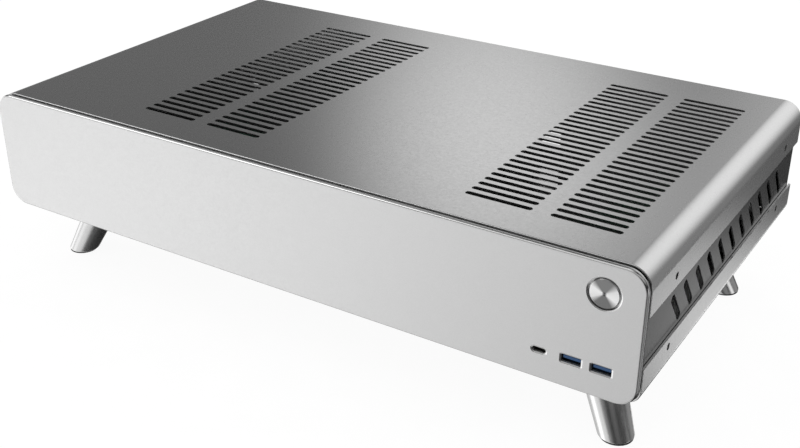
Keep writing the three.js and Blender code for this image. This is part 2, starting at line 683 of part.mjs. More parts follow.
function psuLid() {
  const { x0, x1, y0, y1, z1 } = PSU;
  const [low, high] = [z1 + GAP, z1 + GAP + 1];
  const { x, y, radius } = PSU_FAN;
  const plate = cut(box(x0, x1, y0, y1, low, high), [rodZ(x, y, radius, low - 1, high + 1, 32)]);
  const ring = (r) => cut(rodZ(x, y, r, low, high, 20), [rodZ(x, y, r - 1.6, low - 1, high + 1, 20)]);
  const bars = [
    box(x - radius - 1, x + radius + 1, y - 1, y + 1, low, high),
    box(x - 1, x + 1, y - radius - 1, y + radius + 1, low, high),
  ];
  return join([plate, ring(12), ring(25), ...bars]);
}

// The mains inlet: a deep recess with three blades standing in it.
function psuInlet() {
  const { x, z, width, height } = INLET;
  const [y0, y1] = [PSU.y1 - 20, PSU.y1 + 0.8];
  const shell = box(x - width / 2, x + width / 2, y0, y1, z - height / 2, z + height / 2);
  const recess = box(x - 11.5, x + 11.5, y0 + 3, y1 + 1, z - 7.5, z + 7.5);
  const blades = [[-7, -1.5], [7, -1.5], [0, 2.5]].map(
    ([dx, dz]) => box(x + dx - 1, x + dx + 1, y0 + 2, y1 - 6, z + dz - 2, z + dz + 2));
  return join([cut(shell, [recess]), ...blades]);
}

function psuRocker() {
  const { x, z, width, half, rest } = ROCKER;
  const points = [[2.6, half], [0.8, 0], [2.6, -half], [-2, -half + 1], [-5, 0], [-2, half - 1]];
  const shape = new THREE.Shape(points.map(([y, up]) => new THREE.Vector2(y, up)).reverse());
  const turn = new THREE.Matrix4().makeBasis(
    new THREE.Vector3(0, 1, 0), new THREE.Vector3(0, 0, 1), new THREE.Vector3(1, 0, 0));
  const geometry = extruded(shape, width).applyMatrix4(turn).translate(-width / 2, 0, 0);
  return solid(geometry.rotateX(rest).translate(x, PSU.y1, z));
}

function psuBoard() {
  const { x0, x1, y0, y1, z0 } = PSU;
  return join([
    box(x0 + 3, x1 - 3, y0 + 3, y1 - 24, z0 + 4, z0 + 5.6),
    box(x0 + 8, x0 + 38, y0 + 18, y0 + 48, z0 + 5, z0 + 32),
    box(x0 + 50, x0 + 80, y0 + 14, y0 + 40, z0 + 5, z0 + 36),
    box(x0 + 90, x0 + 96, y0 + 8, y0 + 70, z0 + 5, z0 + 38),
    rodZ(x0 + 60, y0 + 58, 12, z0 + 5, z0 + 34, 20),
  ]);
}

function buildPowerSupply() {
  const { x, y, radius } = PSU_FAN;
  const fanTop = PSU.z1 - 1.5;
  piece('psu_case', psuCase(), BLACK_STEEL);
  piece('psu_lid', psuLid(), BLACK_STEEL);
  piece('psu_circuit_board', psuBoard(), BOARD_GREEN);
  piece('psu_fan_frame', fanFrame(x, y, 80, fanTop - 15, fanTop, 38, 14), BLACK_PLASTIC);
  piece('psu_fan_rotor', fanRotor(x, y, fanTop - 12, fanTop - 1, 15, radius - 1, 7), BLACK_PLASTIC);
  piece('psu_inlet', psuInlet(), BLACK_PLASTIC);
  piece('psu_rocker_switch', psuRocker(), BLACK_PLASTIC);
}

// ---------------------------------------------------------------- drive and cables

function driveBracket() {
  const { x0, x1, y0, y1, z } = BRACKET;
  const low = SHEET + GAP;
  const body = join([
    box(x0, x1, y0, y1, z - FRAME_SHEET, z),
    box(x0, x0 + FRAME_SHEET, y0, y1, low, z),
    box(x1 - FRAME_SHEET, x1, y0, y1, low, z),
    box(x0 - 10, x0 + FRAME_SHEET, y0, y1, low, low + FRAME_SHEET),
    box(x1 - FRAME_SHEET, x1 + 10, y0, y1, low, low + FRAME_SHEET),
  ]);
  const tools = [];
  for (const y of [y0 + 50, y0 + 96]) {
    tools.push(alongZ(roundedRectangle(x0 + 34, x1 - 26, y - 14, y + 14, 4), z - 5, z + 5));
  }
  return cut(body, tools);
}

function drive() {
  const low = BRACKET.z + GAP;
  return alongZ(roundedRectangle(DRIVE.x0, DRIVE.x1, DRIVE.y0, DRIVE.y1, 3), low, low + DRIVE.height);
}

function cable(points, radius, sides, steps) {
  const places = points.map(([x, y, z]) => new THREE.Vector3(x, y, z));
  const path = new THREE.CatmullRomCurve3(places, false, 'centripetal');
  const section = disc(0, 0, radius, sides);
  return solid(new THREE.ExtrudeGeometry(section, { steps, extrudePath: path, bevelEnabled: false }));
}

function buildStorageAndCables() {
  piece('drive_bracket', driveBracket(), BARE_ALUMINIUM);
  piece('solid_state_drive', drive(), BLACK_PLASTIC);
  const seat = BOARD.z1 + GAP;
  const plug = box(-46, 8, 47, 59, seat + 10.3, seat + 26);
  const powerRoute = [
    [133, 195, 22], [133, 188, 22], [115, 184, 18], [80, 168, 13], [52, 130, 12],
    [38, 90, 16], [20, 66, 30], [0, 55, 42], [-15, 53, 42], [-20, 53, 34],
  ];
  piece('power_cable', join([plug, cable(powerRoute, 5, 8, 28)]), BLACK_PLASTIC);
  const frontRoute = [
    [186, 24.5, 14], [186, 27, 14], [150, 27, 9], [100, 28, 8], [50, 30, 8],
    [25, 33, 10], [14, 40, 18], [12, 50, 22], [12, 53, 18],
  ];
  const frontPlug = box(8.6, 17, 49, 55, seat, seat + 9);
  const boardPlug = box(184, 196, 22.4, 26, 10, 18);
  piece('front_panel_cable', join([frontPlug, boardPlug, cable(frontRoute, 2, 6, 30)]), BLACK_PLASTIC);
}

// ---------------------------------------------------------------- assembly

buildShell();
buildFeet();
buildFrontControls();
motherboardPieces();
coolerPieces();
buildRear();
buildPowerSupply();
buildStorageAndCables();

const computer = new THREE.Group();
computer.add(interior);

export default computer;
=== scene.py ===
# A low aluminium desktop computer on four splayed conical feet: the finished surfaces round its CAD frame.
# Everything is in metres, in the frame's own axes: +X right, +Y from the front panel to the back, +Z up.
import json
import math

import bmesh
import bpy
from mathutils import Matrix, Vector


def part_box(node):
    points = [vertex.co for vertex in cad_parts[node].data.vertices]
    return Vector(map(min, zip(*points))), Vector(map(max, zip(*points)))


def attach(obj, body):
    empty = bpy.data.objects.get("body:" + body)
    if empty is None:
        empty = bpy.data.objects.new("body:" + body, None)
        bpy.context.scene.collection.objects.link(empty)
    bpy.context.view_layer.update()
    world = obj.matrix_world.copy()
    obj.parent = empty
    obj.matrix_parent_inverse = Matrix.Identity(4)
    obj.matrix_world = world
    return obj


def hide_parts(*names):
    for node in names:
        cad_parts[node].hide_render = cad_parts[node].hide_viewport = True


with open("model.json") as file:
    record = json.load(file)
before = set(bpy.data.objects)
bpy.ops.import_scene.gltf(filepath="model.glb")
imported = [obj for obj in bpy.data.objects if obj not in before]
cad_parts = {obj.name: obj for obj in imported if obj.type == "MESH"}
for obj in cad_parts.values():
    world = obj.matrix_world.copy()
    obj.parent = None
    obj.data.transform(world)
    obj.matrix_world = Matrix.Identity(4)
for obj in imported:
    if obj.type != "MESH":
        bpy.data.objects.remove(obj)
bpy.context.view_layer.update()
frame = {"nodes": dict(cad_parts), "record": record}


def centre_of(node):
    low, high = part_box(node)
    return (low + high) / 2


# ---------------------------------------------------------------- sizes

MM = 0.001
# How far a cutter reaches past the face that it cuts.
PAST = 5 * MM

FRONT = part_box("front_panel")[0].y
CASE_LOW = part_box("front_panel")[0].z
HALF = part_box("top_cover")[1].x
CASE_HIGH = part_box("top_cover")[1].z
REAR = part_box("rear_panel")[1].y

CORNER = 13.9 * MM
TRAY_BEND = 9 * MM
SHEET = 1.5 * MM
SHEET_EDGE = 0.55 * MM

PLATE = 3.2 * MM
PLATE_EDGE = 1.6 * MM
PLATE_BACK_EDGE = 0.6 * MM
# How far the bright cut edges of the openings reach over the plate, and into its depth.
HOLE_EDGE = (0.7 * MM, 0.28 * MM)
PORT_EDGE = (1.0 * MM, 0.4 * MM)
# How thick the plate is left round its openings, where it is pocketed from behind.
PORT_WEB = 1.2 * MM
HOLE_WEB = 1.6 * MM
PORT_POCKET = 1.2 * MM

BUTTON_X = centre_of("power_button").x
BUTTON_Z = centre_of("power_button").z
BUTTON_HOLE = 10.1 * MM
BUTTON_RECESS = 12 * MM
BUTTON_RADIUS = 9.3 * MM
BUTTON_CHAMFER = 0.6 * MM
# Radius and depth of the dimple; radius, front and back of the flange; radius and end of the stem.
BUTTON_DIMPLE = (0.45 * MM, 0.15 * MM)
BUTTON_FLANGE = (11.4 * MM, 2.1 * MM, 3.1 * MM)
BUTTON_STEM = (3 * MM, 7.6 * MM)

# Each front socket's opening: width, height and corner radius.
USB_A_OPENING = (12.5 * MM, 5.2 * MM, 0.5 * MM)
USB_C_OPENING = (8.9 * MM, 3.3 * MM, 1.6 * MM)
PORTS = {
    "usb_c_socket": USB_C_OPENING,
    "usb_a_socket_1": USB_A_OPENING,
    "usb_a_socket_2": USB_A_OPENING,
}

SLOT_ROWS = 28
SLOT_PITCH = 8.18 * MM
SLOT_FIRST = FRONT + 36.8 * MM
SLOT_LENGTH = 45.2 * MM
SLOT_WIDTH = 4.2 * MM
SLOT_CENTRES = [-117 * MM, -60 * MM, 144.5 * MM, 201.5 * MM]

SIDE_SLOTS = 11
SIDE_SLOT_PITCH = 20.57 * MM
SIDE_SLOT_FIRST = FRONT + 56.4 * MM
SIDE_SLOT_Z = CASE_LOW + 39 * MM
SIDE_SLOT_LENGTH = 28.9 * MM
SIDE_SLOT_WIDTH = 5.4 * MM
SIDE_SLOT_LEAN = math.radians(-52)
PANEL_CORNER = 2 * MM

SCREW_HOLE = 2.4 * MM
SCREW_HEAD = 2.1 * MM
SCREW_HEAD_HEIGHT = 1.1 * MM
SCREW_SHANK = 1.4 * MM
SCREW_CORE_HOLE = 1.7 * MM
SCREW_SOCKET = 1.1 * MM
SCREW_SOCKET_DEPTH = 0.8 * MM

FOOT_TOP = 15.1 * MM
FOOT_BOTTOM = 11.7 * MM
FOOT_CHAMFER = 0.6 * MM
FOOT_RINGS = 12
FOOT_SCREW_HOLE = 3.4 * MM

TRAY_VENTS = 7
TRAY_VENT_X = 172 * MM
TRAY_VENT_FIRST = FRONT + 72 * MM
TRAY_VENT_PITCH = 14 * MM
TRAY_VENT_LENGTH = 76 * MM

# The tray's spacers stand in three rows and three columns under the motherboard: each row's distance
# from the board's front edge, or from its rear edge where it is negative.
SPACER = 3.2 * MM
SPACER_SIDE = 6.4 * MM
SPACER_ROWS = (10.2 * MM, 124 * MM, -8 * MM)
# The tray's two rails under the power supply.
RAIL_SIDE = 10 * MM
RAIL_END = 8 * MM
RAIL_HALF = 6 * MM
SUPPORT_GAP = 0.3 * MM

CONTACTS = 4
CONTACT_PITCH = 2.5 * MM
CONTACT_WIDTH = 1.1 * MM
CONTACT_THICK = 0.2 * MM

SCREEN = 0.4 * MM
SCREEN_GAP = 0.3 * MM
# The parts of the rear panel that have vents: where they start and stop across, and above its lower edge.
SCREENS = {
    "left": (-242 * MM, -194 * MM, 17 * MM, 67 * MM),
    "middle": (22 * MM, 102 * MM, 33 * MM, 71 * MM),
}

SIDES = {"left": -1, "right": 1}
ENDS = ("front", "rear")
LEVELS = ("upper", "lower")

# Corners of a CAD mesh that are closer than this are one corner.
WELD = 0.01 * MM

# ---------------------------------------------------------------- mesh helpers


def arc(u, v, radius, start, stop, steps):
    """Points on an arc, angles in degrees."""
    points = []
    for i in range(steps + 1):
        angle = math.radians(start + (stop - start) * i / steps)
        points.append((u + radius * math.cos(angle), v + radius * math.sin(angle)))
    return points


def circle(u, v, radius, steps):
    return arc(u, v, radius, 0, 360, steps)[:-1]


def rounded_box(u0, u1, v0, v1, radius, steps):
    return (
        arc(u1 - radius, v0 + radius, radius, -90, 0, steps)
        + arc(u1 - radius, v1 - radius, radius, 0, 90, steps)
        + arc(u0 + radius, v1 - radius, radius, 90, 180, steps)
        + arc(u0 + radius, v0 + radius, radius, 180, 270, steps)
    )


def stadium(u, v, length, width, turn=0.0, steps=10):
    """A slot with half-round ends; turn is the angle of its long axis from u, in radians."""
    radius = width / 2
    du = (length / 2 - radius) * math.cos(turn)
    dv = (length / 2 - radius) * math.sin(turn)
    tilt = math.degrees(turn)
    return (
        arc(u + du, v + dv, radius, tilt - 90, tilt + 90, steps)
        + arc(u - du, v - dv, radius, tilt + 90, tilt + 270, steps)
    )


def to_space(axis, u, v, w):
    """A point drawn as (u, v) on the plane across an axis, at w along it."""
    if axis == "X":
        return (w, u, v)
    if axis == "Y":
        return (u, w, v)
    return (u, v, w)


def add_prism(mesh, outline, axis, low, high):
    """Adds the closed solid that an outline sweeps along an axis, from low to high."""
    bottom = [mesh.verts.new(to_space(axis, u, v, low)) for u, v in outline]
    top = [mesh.verts.new(to_space(axis, u, v, high)) for u, v in outline]
    mesh.faces.new(bottom)
    mesh.faces.new(list(reversed(top)))
    for i in range(len(outline)):
        j = (i + 1) % len(outline)
        mesh.faces.new((bottom[j], bottom[i], top[i], top[j]))


def add_loft(mesh, rings, axis):
    """Adds the closed solid through a row of rings (outline, level) that have equal numbers of points."""
    rows = []
    for outline, level in rings:
        rows.append([mesh.verts.new(to_space(axis, u, v, level)) for u, v in outline])
    mesh.faces.new(rows[0])
    mesh.faces.new(list(reversed(rows[-1])))
    for one, two in zip(rows, rows[1:]):
        for i in range(len(one)):
            j = (i + 1) % len(one)
            mesh.faces.new((one[j], one[i], two[i], two[j]))


def edge_round(radius, steps=4):
    """A quarter-round edge as (inset from the side, depth below the face), from the face inwards."""
    angles = [math.radians(90 * i / steps) for i in range(steps + 1)]
    return [(radius * (1 - math.sin(t)), radius * (1 - math.cos(t))) for t in angles]


def add_turned(mesh, profile, centre, axis, steps=64, lean=(0.0, 0.0)):
    """Adds a closed turned body. Its profile of (radius, distance along) starts and ends on the axis."""
    rings = []
    for radius, along in profile:
        count = 1 if radius == 0 else steps
        ring = []
        for i in range(count):
            angle = 2 * math.pi * i / steps
            u = radius * math.cos(angle) + lean[0] * along
            v = radius * math.sin(angle) + lean[1] * along
            ring.append(mesh.verts.new(Vector(centre) + Vector(to_space(axis, u, v, along))))
        rings.append(ring)
    for one, two in zip(rings, rings[1:]):
        for i in range(steps):
            j = (i + 1) % steps
            corners = [one[i % len(one)], one[j % len(one)], two[j % len(two)], two[i % len(two)]]
            face = list(dict.fromkeys(corners))
            if len(face) > 2:
                mesh.faces.new(face)


def new_object(name, mesh):
    bmesh.ops.recalc_face_normals(mesh, faces=mesh.faces)
    data = bpy.data.meshes.new(name)
    mesh.to_mesh(data)
    mesh.free()
    piece = bpy.data.objects.new(name, data)
    bpy.context.scene.collection.objects.link(piece)
    return piece


def bake_modifiers(piece):
    """Turns what the modifiers make into the piece's own mesh."""
    graph = bpy.context.evaluated_depsgraph_get()
    data = bpy.data.meshes.new_from_object(piece.evaluated_get(graph))
    data.name = piece.name
    piece.modifiers.clear()
    piece.data = data


def cut(piece, tool_mesh, operation="DIFFERENCE"):
    """Cuts a set of closed solids out of a piece, or joins them to it."""
    tool = new_object(piece.name + "_tool", tool_mesh)
    step = piece.modifiers.new("cut", "BOOLEAN")
    step.operation = operation
    step.solver = "EXACT"
    step.object = tool
    bake_modifiers(piece)
    bpy.data.objects.remove(tool)


def keep_faces_flat(piece):
    """Gives each corner the direction of its largest face, so that no shade creeps over flat faces."""
    weighted = piece.modifiers.new("flat_faces", "WEIGHTED_NORMAL")
    weighted.keep_sharp = True
    weighted.weight = 100


def soften(piece, width, segments=2, angle=35):
    """Rounds the sharp edges and shades the rest smoothly."""
    for face in piece.data.polygons:
        face.use_smooth = True
    bevel = piece.modifiers.new("edges", "BEVEL")
    bevel.width = width
    bevel.segments = segments
    bevel.limit_method = "ANGLE"
    bevel.angle_limit = math.radians(angle)
    bevel.use_clamp_overlap = True
    bevel.miter_outer = "MITER_ARC"
    keep_faces_flat(piece)


def smooth_sides(piece, angle=35):
    """Shades the rounded stretches smoothly and keeps the flat faces flat."""
    for face in piece.data.polygons:
        face.use_smooth = True
    piece.data.set_sharp_from_angle(angle=math.radians(angle))
    keep_faces_flat(piece)


def place(piece, material, body="case", stands_for=()):
    """Gives a piece its material, its body and the CAD nodes that it stands in for."""
    piece.data.materials.clear()
    piece.data.materials.append(material)
    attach(piece, body)
    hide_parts(*stands_for)
    return piece


# ---------------------------------------------------------------- materials

# Nearly all of a noise's values lie between these two.
NOISE_LOW = 0.3
NOISE_HIGH = 0.7
# How rough the cut edges of the front plate are, as a share of its blasted faces.
BRIGHT_EDGE = 0.4
# Painted highlights round the button's turned face, from the left and back: how bright its colour is
# painted where the rings catch the light.
PAINTED_WEDGE_HIGHLIGHTS = [
    (0.0, 0.95), (0.06, 0.95), (0.14, 0.26), (0.34, 0.30), (0.43, 0.95),
    (0.57, 0.95), (0.66, 0.22), (0.86, 0.26), (0.93, 0.95), (1.0, 0.95),
]
# How wide the painted shade at the middle of the turned face is: a dark spot painted where the dimple is.
DIMPLE_SHADE_WIDTH = 1.5 * MM


def tint(value):
    return (value, value, value)


def greys(stops):
    return [(position, tint(value)) for position, value in stops]


class Shader:
    """A node material that is built a few nodes at a time."""

    def __init__(self, name, **values):
        self.material = bpy.data.materials.new(name)
        self.material.use_nodes = True
        self.tree = self.material.node_tree
        self.surface = self.tree.nodes["Principled BSDF"]
        for socket, value in values.items():
            self.surface.inputs[socket.replace("_", " ")].default_value = value
        self.where = self.tree.nodes.new("ShaderNodeTexCoord").outputs["Object"]

    def node(self, kind, **settings):
        made = self.tree.nodes.new(kind)
        for key, value in settings.items():
            setattr(made, key, value)
        return made

    def link(self, source, target):
        self.tree.links.new(source, target)

    def stretched(self, scale):
        mapping = self.node("ShaderNodeMapping")
        mapping.inputs["Scale"].default_value = scale
        self.link(self.where, mapping.inputs["Vector"])
        return mapping.outputs["Vector"]

    def noise(self, scale, detail=2.0, stretch=(1, 1, 1)):
        texture = self.node("ShaderNodeTexNoise")
        texture.inputs["Scale"].default_value = scale
        texture.inputs["Detail"].default_value = detail
        self.link(self.stretched(stretch), texture.inputs["Vector"])
        return texture.outputs["Fac"]

    def ramp(self, factor, stops):
        """The colours of the stops, blended in between; a stop is (position, colour)."""
        ramp = self.node("ShaderNodeValToRGB")
        ramp.color_ramp.elements[0].position = stops[0][0]
        ramp.color_ramp.elements[0].color = (*stops[0][1], 1)
        ramp.color_ramp.elements[1].position = stops[-1][0]
        ramp.color_ramp.elements[1].color = (*stops[-1][1], 1)
        for position, colour in stops[1:-1]:
            ramp.color_ramp.elements.new(position).color = (*colour, 1)
        self.link(factor, ramp.inputs["Fac"])
        return ramp.outputs["Color"]

    def colour(self, source):
        self.link(source, self.surface.inputs["Base Color"])

    def shades(self, factor, low, high):
        """Spreads a noise over a range between two colours."""
        self.colour(self.ramp(factor, [(NOISE_LOW, low), (NOISE_HIGH, high)]))

    def multiply(self, first, second):
        product = self.node("ShaderNodeMath", operation="MULTIPLY")
        self.link(first, product.inputs[0])
        self.link(second, product.inputs[1])
        return product.outputs[0]

    def between_front_and_side(self, flat, oblique):
        """One value on faces square to the depth or along it, another on the slanted edges in between."""
        parts = self.node("ShaderNodeSeparateXYZ")
        self.link(self.node("ShaderNodeTexCoord").outputs["Normal"], parts.inputs[0])
        depth = self.node("ShaderNodeMath", operation="ABSOLUTE")
        self.link(parts.outputs["Y"], depth.inputs[0])
        stops = greys([(0.1, flat), (0.25, oblique), (0.92, oblique), (0.98, flat)])
        return self.ramp(depth.outputs[0], stops)

    def roughness(self, factor, low, high, scaled_by=None):
        """Spreads a noise over a range of roughness."""
        spread = self.node("ShaderNodeMapRange")
        spread.inputs["From Min"].default_value = NOISE_LOW
        spread.inputs["From Max"].default_value = NOISE_HIGH
        spread.inputs["To Min"].default_value = low
        spread.inputs["To Max"].default_value = high
        self.link(factor, spread.inputs["Value"])
        result = spread.outputs["Result"]
        if scaled_by is not None:
            result = self.multiply(result, scaled_by)
        self.link(result, self.surface.inputs["Roughness"])

    def clear_from_behind(self):
        """Nothing is seen of the back of the faces, so that the object can be looked at from below."""
        output = self.tree.nodes["Material Output"]
        either = self.node("ShaderNodeMixShader")
        self.link(self.node("ShaderNodeNewGeometry").outputs["Backfacing"], either.inputs[0])
        self.link(self.surface.outputs[0], either.inputs[1])
        self.link(self.node("ShaderNodeBsdfTransparent").outputs[0], either.inputs[2])
        self.link(either.outputs[0], output.inputs["Surface"])

    def bump(self, factor, distance, strength=0.3):
        bump = self.node("ShaderNodeBump")
        bump.inputs["Distance"].default_value = distance
        bump.inputs["Strength"].default_value = strength
        self.link(factor, bump.inputs["Height"])
        self.link(bump.outputs["Normal"], self.surface.inputs["Normal"])


def blasted_aluminium():
    """The front plate: fine bead-blasted grain under clear anodising, with edges cut bright afterwards."""
    shader = Shader("blasted_aluminium", Metallic=1.0)
    grain = shader.noise(2600, 3)
    shader.shades(grain, tint(0.72), tint(0.76))
    shader.roughness(shader.noise(900, 2), 0.42, 0.48, shader.between_front_and_side(1.0, BRIGHT_EDGE))
    shader.bump(grain, 0.00002, 0.2)
    return shader.material


def satin_sheet():
    """The cover and the tray: satin anodised sheet with a very fine grain."""
    shader = Shader("satin_sheet", Metallic=1.0)
    grain = shader.noise(2200, 2)
    shader.shades(grain, tint(0.675), tint(0.705))
    shader.roughness(shader.noise(500, 3), 0.245, 0.275)
    shader.bump(grain, 0.00001, 0.05)
    return shader.material


def powder_coat():
    """Dark satin sheet: it mirrors the room dimly, and stays dark at a glancing view."""
    shader = Shader("powder_coat", Metallic=0.8)
    shader.surface.inputs["Specular Tint"].default_value = (*tint(0.6), 1)
    grain = shader.noise(1400, 4)
    shader.shades(grain, tint(0.15), tint(0.17))
    shader.roughness(grain, 0.17, 0.22)
    shader.bump(grain, 0.00002, 0.15)
    return shader.material


def turned_face():
    """Fine rings cut by a lathe smear the light along the radius; two opposite bright wedge-shaped
    highlights and a dark spot of shade at the middle are also painted into its colour.
    """
    shader = Shader("turned_face", Metallic=1.0, Roughness=0.3, Anisotropic=0.9, Anisotropic_Rotation=0.25)
    tangent = shader.node("ShaderNodeTangent", direction_type="RADIAL", axis="Y")
    shader.link(tangent.outputs["Tangent"], shader.surface.inputs["Tangent"])
    facing = shader.node("ShaderNodeMapping")
    facing.inputs["Location"].default_value = (-BUTTON_X / DIMPLE_SHADE_WIDTH, BUTTON_Z / DIMPLE_SHADE_WIDTH, 0)
    facing.inputs["Rotation"].default_value = (math.radians(90), 0, 0)
    facing.inputs["Scale"].default_value = (1 / DIMPLE_SHADE_WIDTH, 1 / DIMPLE_SHADE_WIDTH, 1 / DIMPLE_SHADE_WIDTH)
    shader.link(shader.where, facing.inputs["Vector"])
    angle = shader.node("ShaderNodeTexGradient", gradient_type="RADIAL")
    shader.link(facing.outputs["Vector"], angle.inputs["Vector"])
    # Painted highlights: two bright wedge-shaped sectors painted into the colour by the angle round the
    # face.
    painted_highlights = shader.ramp(angle.outputs["Fac"], greys(PAINTED_WEDGE_HIGHLIGHTS))
    flat = shader.node("ShaderNodeVectorMath", operation="MULTIPLY")
    flat.inputs[1].default_value = (1, 1, 0)
    shader.link(facing.outputs["Vector"], flat.inputs[0])
    nearness = shader.node("ShaderNodeTexGradient", gradient_type="SPHERICAL")
    shader.link(flat.outputs["Vector"], nearness.inputs["Vector"])
    # Painted shade: a dark spot painted at the middle of the face, where the dimple is.
    painted_dimple_shade = shader.ramp(nearness.outputs["Fac"], greys([(0.0, 1.0), (0.5, 0.3)]))
    painted_light_mix = shader.node("ShaderNodeMix", data_type="RGBA", blend_type="MULTIPLY")
    painted_light_mix.inputs[0].default_value = 1.0
    first, second, result = painted_light_mix.inputs[6], painted_light_mix.inputs[7], painted_light_mix.outputs[2]
    shader.link(painted_highlights, first)
    shader.link(painted_dimple_shade, second)
    shader.colour(result)
    return shader.material


def polished_metal():
    """The feet: turned and polished, with very fine marks along them."""
    shader = Shader("polished_metal", Metallic=1.0)
    smear = shader.noise(60, 3)
    shader.shades(smear, tint(0.78), tint(0.82))
    shader.roughness(shader.noise(300, 3, (1, 1, 0.1)), 0.23, 0.27)
    return shader.material


def bare_aluminium():
    """Mill-finished aluminium with faint rolling lines."""
    shader = Shader("mill_aluminium", Metallic=1.0)
    lines = shader.noise(900, 3, (1, 0.03, 1))
    shader.shades(lines, tint(0.68), tint(0.78))
    shader.roughness(lines, 0.25, 0.4)
    shader.bump(lines, 0.00003, 0.3)
    return shader.material


def shade_dark_aluminium():
    """Aluminium fins coloured dark as painted shade, so that they stay dim behind the vents."""
    shader = Shader("shade_dark_aluminium", Metallic=1.0)
    cloud = shader.noise(200, 2)
    shader.shades(cloud, tint(0.17), tint(0.21))
    shader.roughness(cloud, 0.6, 0.7)
    return shader.material


def plated_steel():
    """The shells of the sockets and the lid of the processor."""
    shader = Shader("plated_steel", Metallic=1.0)
    cloud = shader.noise(40, 2)
    shader.shades(cloud, (0.55, 0.55, 0.54), (0.60, 0.60, 0.58))
    shader.roughness(cloud, 0.28, 0.33)
    return shader.material


def black_oxide():
    shader = Shader("black_oxide", Metallic=1.0)
    cloud = shader.noise(1500, 3)
    shader.shades(cloud, tint(0.05), tint(0.09))
    shader.roughness(cloud, 0.3, 0.45)
    return shader.material


def moulded_plastic(name, value, low, high, scale=1500):
    shader = Shader(name)
    grain = shader.noise(scale, 3)
    shader.shades(grain, tint(value * 0.85), tint(value * 1.15))
    shader.roughness(grain, low, high)
    shader.bump(grain, 0.00004, 0.4)
    return shader.material


def blue_plastic():
    shader = Shader("blue_plastic")
    grain = shader.noise(800, 2)
    shader.shades(grain, (0.010, 0.055, 0.15), (0.014, 0.070, 0.19))
    shader.roughness(grain, 0.25, 0.4)
    return shader.material


def circuit_board():
    """Green solder mask over a maze of copper tracks."""
    shader = Shader("circuit_board", Specular_IOR_Level=0.5)
    tracks = shader.node("ShaderNodeTexBrick")
    tracks.inputs["Scale"].default_value = 160
    tracks.inputs["Mortar Size"].default_value = 0.03
    tracks.inputs["Color1"].default_value = (0.006, 0.070, 0.036, 1)
    tracks.inputs["Color2"].default_value = (0.009, 0.085, 0.045, 1)
    tracks.inputs["Mortar"].default_value = (0.03, 0.16, 0.09, 1)
    shader.link(shader.where, tracks.inputs["Vector"])
    shader.colour(tracks.outputs["Color"])
    shader.roughness(shader.noise(400, 2), 0.25, 0.4)
    shader.bump(tracks.outputs["Fac"], 0.00005, 0.4)
    return shader.material


def woven_sleeve():
    shader = Shader("woven_sleeve")
    weave = shader.node("ShaderNodeTexWave", wave_type="BANDS", bands_direction="DIAGONAL")
    weave.inputs["Scale"].default_value = 420
    weave.inputs["Distortion"].default_value = 1.5
    shader.link(shader.where, weave.inputs["Vector"])
    shader.shades(weave.outputs["Fac"], tint(0.012), tint(0.045))
    shader.roughness(weave.outputs["Fac"], 0.55, 0.75)
    shader.bump(weave.outputs["Fac"], 0.0003, 0.6)
    return shader.material


MATERIALS = {
    "anodised_plate": blasted_aluminium(),
    "brushed_shell": satin_sheet(),
    "dark_steel": powder_coat(),
    "turned_button": turned_face(),
    "polished_foot": polished_metal(),
    "pad_rubber": moulded_plastic("rubber", 0.018, 0.7, 0.9, 900),
    "screw_black": black_oxide(),
    "connector_shell": plated_steel(),
    "blue_plastic": blue_plastic(),
    "black_plastic": moulded_plastic("black_plastic", 0.020, 0.35, 0.5),
    "fan_plastic": moulded_plastic("fan_plastic", 0.024, 0.30, 0.42, 700),
    "circuit_board": circuit_board(),
    "nickel_lid": plated_steel(),
    "bare_aluminium": bare_aluminium(),
    "cable_sleeve": woven_sleeve(),
}

# ---------------------------------------------------------------- front plate


def port_outline(node, size, grow):
    """The outline of a socket's opening, centred on the socket and grown all round."""
    port = centre_of(node)
    width, height, radius = size
    half_wide = width / 2 + grow
    half_high = height / 2 + grow
    left, right = port.x - half_wide, port.x + half_wide
    return rounded_box(left, right, port.z - half_high, port.z + half_high, radius + grow, 8)


def add_opening(mesh, outline_at, edge):
    """A cutter for a hole right through the plate, with a shallow bevel at the front face."""
    reach, depth = edge
    rings = [(outline_at(reach), FRONT - PAST), (outline_at(reach), FRONT)]
    rings += [(outline_at(0), FRONT + depth), (outline_at(0), FRONT + PLATE + PAST)]
    add_loft(mesh, rings, "Y")


def front_plate():
    def outline(inset):
        side, low, high = HALF - inset, CASE_LOW + inset, CASE_HIGH - inset
        return rounded_box(-side, side, low, high, CORNER - inset, 32)

    def button_hole(grow):
        return circle(BUTTON_X, BUTTON_Z, BUTTON_HOLE + grow, 96)

    back_edge = reversed(edge_round(PLATE_BACK_EDGE, 6))
    rings = [(outline(inset), FRONT + depth) for inset, depth in edge_round(PLATE_EDGE, 6)]
    rings += [(outline(inset), FRONT + PLATE - depth) for inset, depth in back_edge]
    mesh = bmesh.new()
    add_loft(mesh, rings, "Y")
    piece = new_object("front_plate", mesh)
    openings = bmesh.new()
    add_opening(openings, button_hole, HOLE_EDGE)
    for node, size in PORTS.items():
        add_opening(openings, lambda grow: port_outline(node, size, grow), PORT_EDGE)
    cut(piece, openings)
    behind = FRONT + PLATE + PAST
    pockets = bmesh.new()
    add_prism(pockets, circle(BUTTON_X, BUTTON_Z, BUTTON_RECESS, 64), "Y", FRONT + HOLE_WEB, behind)
    for node, size in PORTS.items():
        add_prism(pockets, port_outline(node, size, PORT_POCKET), "Y", FRONT + PORT_WEB, behind)
    cut(piece, pockets)
    smooth_sides(piece, 20)
    return place(piece, MATERIALS["anodised_plate"], stands_for=["front_panel"])


# ---------------------------------------------------------------- front sockets


